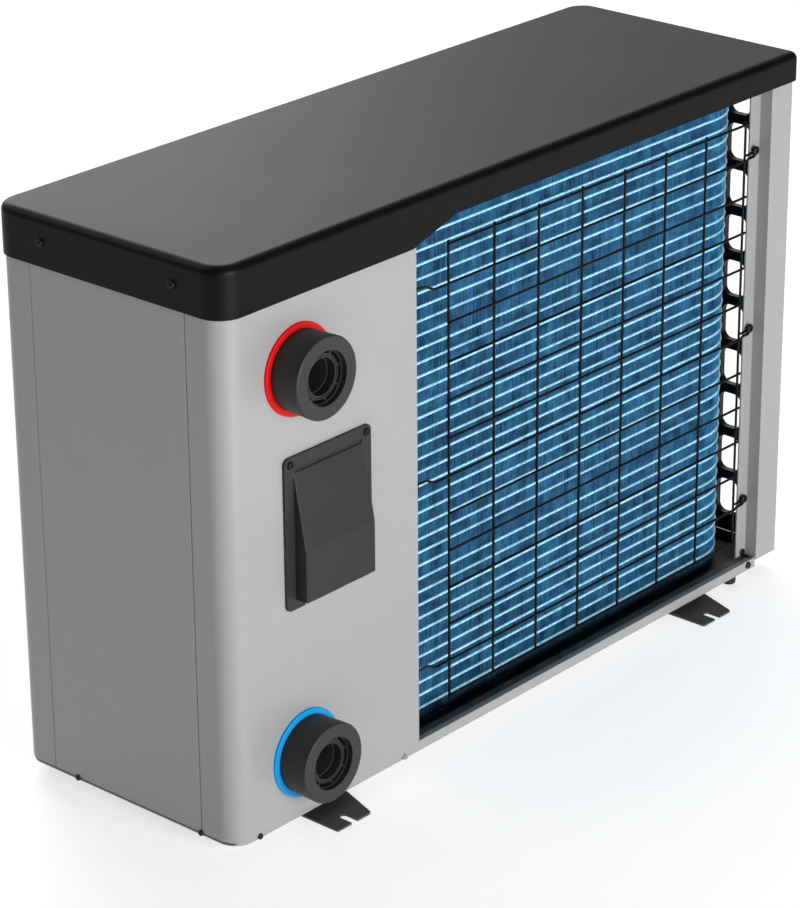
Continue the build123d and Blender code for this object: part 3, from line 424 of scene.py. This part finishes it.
def brushed(name, colour, rough):
    """Sheet or machined metal with a drawn grain."""
    material, tree, shader = start_material(name)
    drawn = noise(tree, place_texture(tree, stretch=(1, 1, 0.03)), scale=900, detail=4.0)
    spangle = noise(tree, place_texture(tree), scale=45, detail=2.0)
    dark, light = scaled(colour, 0.82), scaled(colour, 1.1)
    tone = blend_sockets(tree, spread(tree, spangle, 0, 1), dark, light)
    tree.links.new(tone, shader.inputs["Base Color"])
    tree.links.new(spread(tree, drawn, rough * 0.75, rough * 1.25), shader.inputs["Roughness"])
    shader.inputs["Metallic"].default_value = 0.9
    bump(tree, shader, drawn, strength=0.25, distance=0.01 * MM, edge=0.3 * MM)
    return material


# Plain finishes: colour, roughness, then what differs from surface()'s own values.
PLAIN = {
    "lid_plastic": (
        (0.0013, 0.0013, 0.0014), 0.46,
        dict(grain=2600, depth=0.01, uneven=0.015, edge=0.5 * MM, specular=0.118),
    ),
    "cover_plastic": (
        (0.0178, 0.0178, 0.018), 0.5, dict(grain=2200, depth=0.02, edge=0.8 * MM, specular=0.25),
    ),
    "black_plastic": ((0.006, 0.006, 0.0065), 0.45, dict(grain=2000, edge=0.5 * MM, specular=0.3)),
    "union_plastic": (
        (0.0172, 0.0172, 0.0176), 0.5, dict(grain=1900, depth=0.03, edge=0.6 * MM, specular=0.35),
    ),
    "nozzle_plastic": ((0.03, 0.03, 0.031), 0.5, dict()),
    "red_plastic": ((0.56, 0.001, 0.003), 0.5, dict(depth=0.01, shade=0.06, specular=0.2)),
    "blue_plastic": ((0.003, 0.26, 0.60), 0.5, dict(depth=0.01, shade=0.06, specular=0.2)),
    "dark_steel": (
        (0.048, 0.048, 0.049), 0.5, dict(grain=800, depth=0.03, edge=0.4 * MM, specular=0.35),
    ),
    "black_screws": (SCREW_BLACK, 0.4, dict(grain=3000, depth=0.01, metal=0.2, specular=0.3)),
    "black_wire": ((0.002, 0.002, 0.003), 0.45, dict(grain=1600, depth=0.03, specular=0.15)),
    "rubber": ((0.01, 0.01, 0.01), 0.75, dict(grain=1200, depth=0.05, specular=0.3)),
    "cream_plastic": ((0.72, 0.68, 0.56), 0.45, dict(shade=0.05)),
    "fan_plastic": ((0.012, 0.012, 0.013), 0.4, dict()),
    "motor_paint": ((0.07, 0.07, 0.074), 0.5, dict(grain=600, depth=0.04)),
    "compressor_paint": ((0.012, 0.012, 0.013), 0.3, dict(grain=500, depth=0.04)),
    "shell_plastic": ((0.55, 0.55, 0.53), 0.45, dict(shade=0.05)),
    "board_green": ((0.012, 0.13, 0.045), 0.4, dict(grain=900, depth=0.03, shade=0.2)),
    "smoked_glass": ((0.004, 0.004, 0.005), 0.08, dict(grain=4000, depth=0.001, shade=0.2)),
}

# Bare metals: colour and roughness.
METALS = {
    "zinc_steel": ((0.62, 0.62, 0.58), 0.38),
    "galvanised_steel": ((0.55, 0.56, 0.58), 0.45),
    "copper": ((0.78, 0.36, 0.2), 0.32),
    "brass": ((0.75, 0.52, 0.22), 0.34),
    "titanium": ((0.5, 0.48, 0.44), 0.4),
}


def make_materials():
    """One finish for each material slot of the record."""
    finishes = {"painted_steel": painted_steel(), "blue_fins": fin_coating()}
    for name, (colour, rough, details) in PLAIN.items():
        finishes[name] = surface(name, colour, rough, **details)
    for name, (colour, rough) in METALS.items():
        finishes[name] = brushed(name, colour, rough)
    return finishes


def finish_cad_nodes(finishes):
    """Each CAD node gets its slot's finish, except three that have their own."""
    chosen = {part["node"]: finishes[part["material_slot"]] for part in record["subparts"]}
    chosen["base_pan"] = painted_pan()
    chosen["base_screws"] = base_screw_finish()
    chosen["foot_bolts"] = finishes["black_screws"]
    for name, finish in chosen.items():
        nodes[name].data.materials.clear()
        nodes[name].data.materials.append(finish)


# ---------------------------------------------------------------- mesh helpers

def make_piece(name, shapes, material, smooth=False, body="root"):
    """One mesh piece from (vertices, faces) pairs, riding on a body."""
    vertices, faces = join_shapes(shapes)
    mesh = bpy.data.meshes.new(name)
    mesh.from_pydata(vertices, [], faces)
    mesh.update()
    mesh.materials.append(material)
    if smooth:
        mesh.shade_smooth()
    piece = bpy.data.objects.new(name, mesh)
    bpy.context.scene.collection.objects.link(piece)
    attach(piece, body)
    return piece


def tube_mesh(path, radius, sides, closed=False):
    """Vertices and quads of a round tube along a list of points."""
    vertices = []
    faces = []
    count = len(path)
    previous = None
    for i, point in enumerate(path):
        before = path[i - 1] if (i or closed) else path[i]
        after = path[(i + 1) % count] if (i < count - 1 or closed) else path[i]
        along = (after - before).normalized()
        if previous is None:
            # Any direction well away from the path's own starts the tube's cross-section.
            helper = Vector((0, 0, 1)) if abs(along.z) < 0.9 else Vector((1, 0, 0))
            side = along.cross(helper).normalized()
        else:
            side = (previous - along * previous.dot(along)).normalized()
        previous = side
        other = along.cross(side)
        for k in range(sides):
            turn = 2 * math.pi * k / sides
            vertices.append(point + radius * (math.cos(turn) * side + math.sin(turn) * other))
    loops = count if closed else count - 1
    for i in range(loops):
        a = i * sides
        b = ((i + 1) % count) * sides
        for k in range(sides):
            m = (k + 1) % sides
            faces.append((a + k, a + m, b + m, b + k))
    if not closed:
        faces.append(tuple(reversed(range(sides))))
        faces.append(tuple((count - 1) * sides + k for k in range(sides)))
    return vertices, faces


def join_shapes(shapes):
    """Several (vertices, faces) pairs as one."""
    vertices = []
    faces = []
    for some_vertices, some_faces in shapes:
        base = len(vertices)
        vertices.extend(some_vertices)
        faces.extend(tuple(base + i for i in face) for face in some_faces)
    return vertices, faces


# ---------------------------------------------------------------- evaporator coil

def coil_point(distance, inset):
    """A point of the coil's outer face moved inwards by inset, and the outward direction there."""
    if distance <= COIL_STRAIGHT:
        return Vector((COIL_HIGH.x - distance, COIL_HIGH.y - inset, 0)), Vector((0, 1, 0))
    if distance <= COIL_STRAIGHT + COIL_ARC:
        turn = (distance - COIL_STRAIGHT) / COIL_BEND
        outward = Vector((-math.sin(turn), math.cos(turn), 0))
        return Vector((BEND_X, BEND_Y, 0)) + (COIL_BEND - inset) * outward, outward
    rest = distance - COIL_STRAIGHT - COIL_ARC
    return Vector((COIL_LOW.x + inset, BEND_Y - rest, 0)), Vector((-1, 0, 0))


def coil_path(step, inset):
    """Points along the coil's outer face at a height of 0, moved inwards by inset."""
    count = int(COIL_LENGTH / step)
    return [coil_point(min(COIL_LENGTH, step * i), inset)[0] for i in range(count + 1)]


def build_fins(finish):
    """Thin upright fins side by side round the coil, each a little uneven down its edge."""
    pitch = 2.3 * MM
    thick = 0.35 * MM
    front_inset, back_inset = 0.6 * MM, COIL_DEPTH - 0.4 * MM
    steps = 14
    wander = 0.22 * MM
    lean_in, lean_out = -0.3 * MM, 0.1 * MM
    chance = random.Random(SEED)
    count = int(COIL_LENGTH / pitch)
    margin = (COIL_LENGTH - pitch * count) / 2
    low = COIL_LOW.z
    height = COIL_HIGH.z - COIL_LOW.z
    shapes = []
    for i in range(count):
        distance = margin + pitch * (i + 0.5)
        front, outward = coil_point(distance, front_inset)
        back, _ = coil_point(distance, back_inset)
        side = Vector((-outward.y, outward.x, 0)) * thick / 2
        vertices = []
        for step in range(steps + 1):
            z = Vector((0, 0, low + height * step / steps))
            sway = side.normalized() * chance.uniform(-wander, wander)
            lean = outward * chance.uniform(lean_in, lean_out)
            edge = front + sway + lean
            for corner in (edge + side, edge - side, back - side, back + side):
                vertices.append(corner + z)
        faces = []
        for step in range(steps):
            a = 4 * step
            for k in range(4):
                m = (k + 1) % 4
                faces.append((a + k, a + m, a + 4 + m, a + 4 + k))
        faces.append((3, 2, 1, 0))
        faces.append((4 * steps, 4 * steps + 1, 4 * steps + 2, 4 * steps + 3))
        shapes.append((vertices, faces))
    fins = make_piece("coil_fins", shapes, finish)
    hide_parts("evaporator_fins")


def build_collars(finish):
    """The pale lines across the coil, where each fin's collars line up along a tube row."""
    pitch = 15.875 * MM
    first = COIL_LOW.z + 16.5 * MM
    radius, sides = 1.6 * MM, 8
    rows = int((COIL_HIGH.z - first) / pitch) + 1
    path = coil_path(step=6 * MM, inset=1.1 * MM)
    shapes = []
    for row in range(rows):
        z = Vector((0, 0, first + pitch * row))
        shapes.append(tube_mesh([point + z for point in path], radius, sides))
    make_piece("coil_collars", shapes, finish, smooth=True)


def build_core(finish):
    """A core behind the fins' outer edges, where tubes and the next row's fins close the view."""
    step = 8 * MM
    end_gap = 2 * MM
    outer = coil_path(step, inset=9 * MM)
    inner = coil_path(step, inset=30 * MM)
    low = Vector((0, 0, COIL_LOW.z + end_gap))
    high = Vector((0, 0, COIL_HIGH.z - end_gap))
    count = len(outer) - 1
    shapes = []
    for i in range(count):
        corners = [outer[i], outer[i + 1], inner[i + 1], inner[i]]
        vertices = [c + low for c in corners] + [c + high for c in corners]
        faces = [(0, 1, 5, 4), (2, 3, 7, 6), (3, 2, 1, 0), (4, 5, 6, 7)]
        if i == 0:
            faces.append((3, 0, 4, 7))
        if i == count - 1:
            faces.append((1, 2, 6, 5))
        shapes.append((vertices, faces))
    make_piece("coil_core", shapes, finish)


# ---------------------------------------------------------------- fan guard

def ring(radius, y, segments):
    """Points of a circle round the fan's axis."""
    turns = [2 * math.pi * i / segments for i in range(segments)]
    return [FAN_AXIS + Vector((radius * math.cos(t), y, radius * math.sin(t))) for t in turns]


def build_fan_guard(finish):
    """Front guard: hoops on radial wires that bend back to a rim outside the knee's radius."""
    front = GUARD_LOW.y + 2.4 * MM
    rim_y = GUARD_HIGH.y - 2.6 * MM
    knee_radius = 196
    knee = knee_radius * MM
    rim_radius = 232 * MM
    slope = (rim_y - front) / (rim_radius - knee)
    first_hoop, hoop_pitch, hoops = 46, 13.6, 14
    hoop_wire, rim_wire, spoke_wire = 1.4 * MM, 2.4 * MM, 1.9 * MM
    spokes, first_spoke = 12, 15
    # A spoke's points by radius, in millimetres; at the knee itself it is eased back.
    flat_points, bent_points = (34, 110, 188), (192, knee_radius, 200, 204)
    knee_ease = 1.2 * MM
    shapes = []
    for k in range(hoops):
        radius = (first_hoop + hoop_pitch * k) * MM
        y = front + max(0.0, radius - knee) * slope
        hoop = ring(radius, y, segments=48 + 6 * k)
        shapes.append(tube_mesh(hoop, hoop_wire, sides=8, closed=True))
    rim = ring(rim_radius, rim_y, segments=128)
    shapes.append(tube_mesh(rim, rim_wire, sides=12, closed=True))
    for k in range(spokes):
        turn = math.radians(360 / spokes * k + first_spoke)
        outward = Vector((math.cos(turn), 0, math.sin(turn)))
        path = [FAN_AXIS + outward * r * MM + Vector((0, front, 0)) for r in flat_points]
        for r in bent_points:
            y = front + max(0.0, r * MM - knee) * slope
            ease = knee_ease if r == knee_radius else 0
            path.append(FAN_AXIS + outward * r * MM + Vector((0, y + ease, 0)))
        path.append(FAN_AXIS + outward * rim_radius + Vector((0, rim_y, 0)))
        shapes.append(tube_mesh(path, spoke_wire, sides=10))
    guard = make_piece("front_guard", shapes, finish, smooth=True)
    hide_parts("fan_guard")


def lathe(profile, segments, centre):
    """A closed shape turned about the Y axis through a centre, from (radius, y) points."""
    vertices = []
    faces = []
    count = len(profile)
    for i in range(segments):
        turn = 2 * math.pi * i / segments
        for radius, y in profile:
            x = centre.x + radius * math.cos(turn)
            z = centre.z + radius * math.sin(turn)
            vertices.append(Vector((x, y, z)))
    for i in range(segments):
        a = i * count
        b = ((i + 1) % segments) * count
        for k in range(count):
            m = (k + 1) % count
            faces.append((a + k, b + k, b + m, a + m))
    return vertices, faces


def build_guard_boss(finish):
    """Domed disc at the middle of the front guard, and four screw tabs on its rim."""
    # Profiles as (radius, y) in millimetres, with y from the guard's front or from its back.
    disc = ((0.05, 0), (26, 0), (34, 0.5), (38.5, 1.6), (40, 3.4), (40, 4.6), (0.05, 4.6))
    tab = ((2.1, -4), (7.4, -4), (8.5, -3), (8.5, 0), (2.1, 0))
    tabs, first_tab, tab_circle = 4, 45, 240 * MM
    disc_profile = [(radius * MM, GUARD_LOW.y + y * MM) for radius, y in disc]
    tab_profile = [(radius * MM, GUARD_HIGH.y + y * MM) for radius, y in tab]
    shapes = [lathe(disc_profile, 64, FAN_AXIS)]
    for k in range(tabs):
        turn = math.radians(first_tab + 360 / tabs * k)
        place = FAN_AXIS + tab_circle * Vector((math.cos(turn), 0, math.sin(turn)))
        shapes.append(lathe(tab_profile, 24, place))
    make_piece("front_guard_boss", shapes, finish)


# ---------------------------------------------------------------- assembly

def main():
    add_camera()
    add_lights()
    add_floor()
    finishes = make_materials()
    finish_cad_nodes(finishes)
    build_fins(finishes["blue_fins"])
    build_collars(collar_coating())
    build_core(finishes["blue_fins"])
    build_fan_guard(finishes["black_wire"])
    build_guard_boss(finishes["black_wire"])


main()
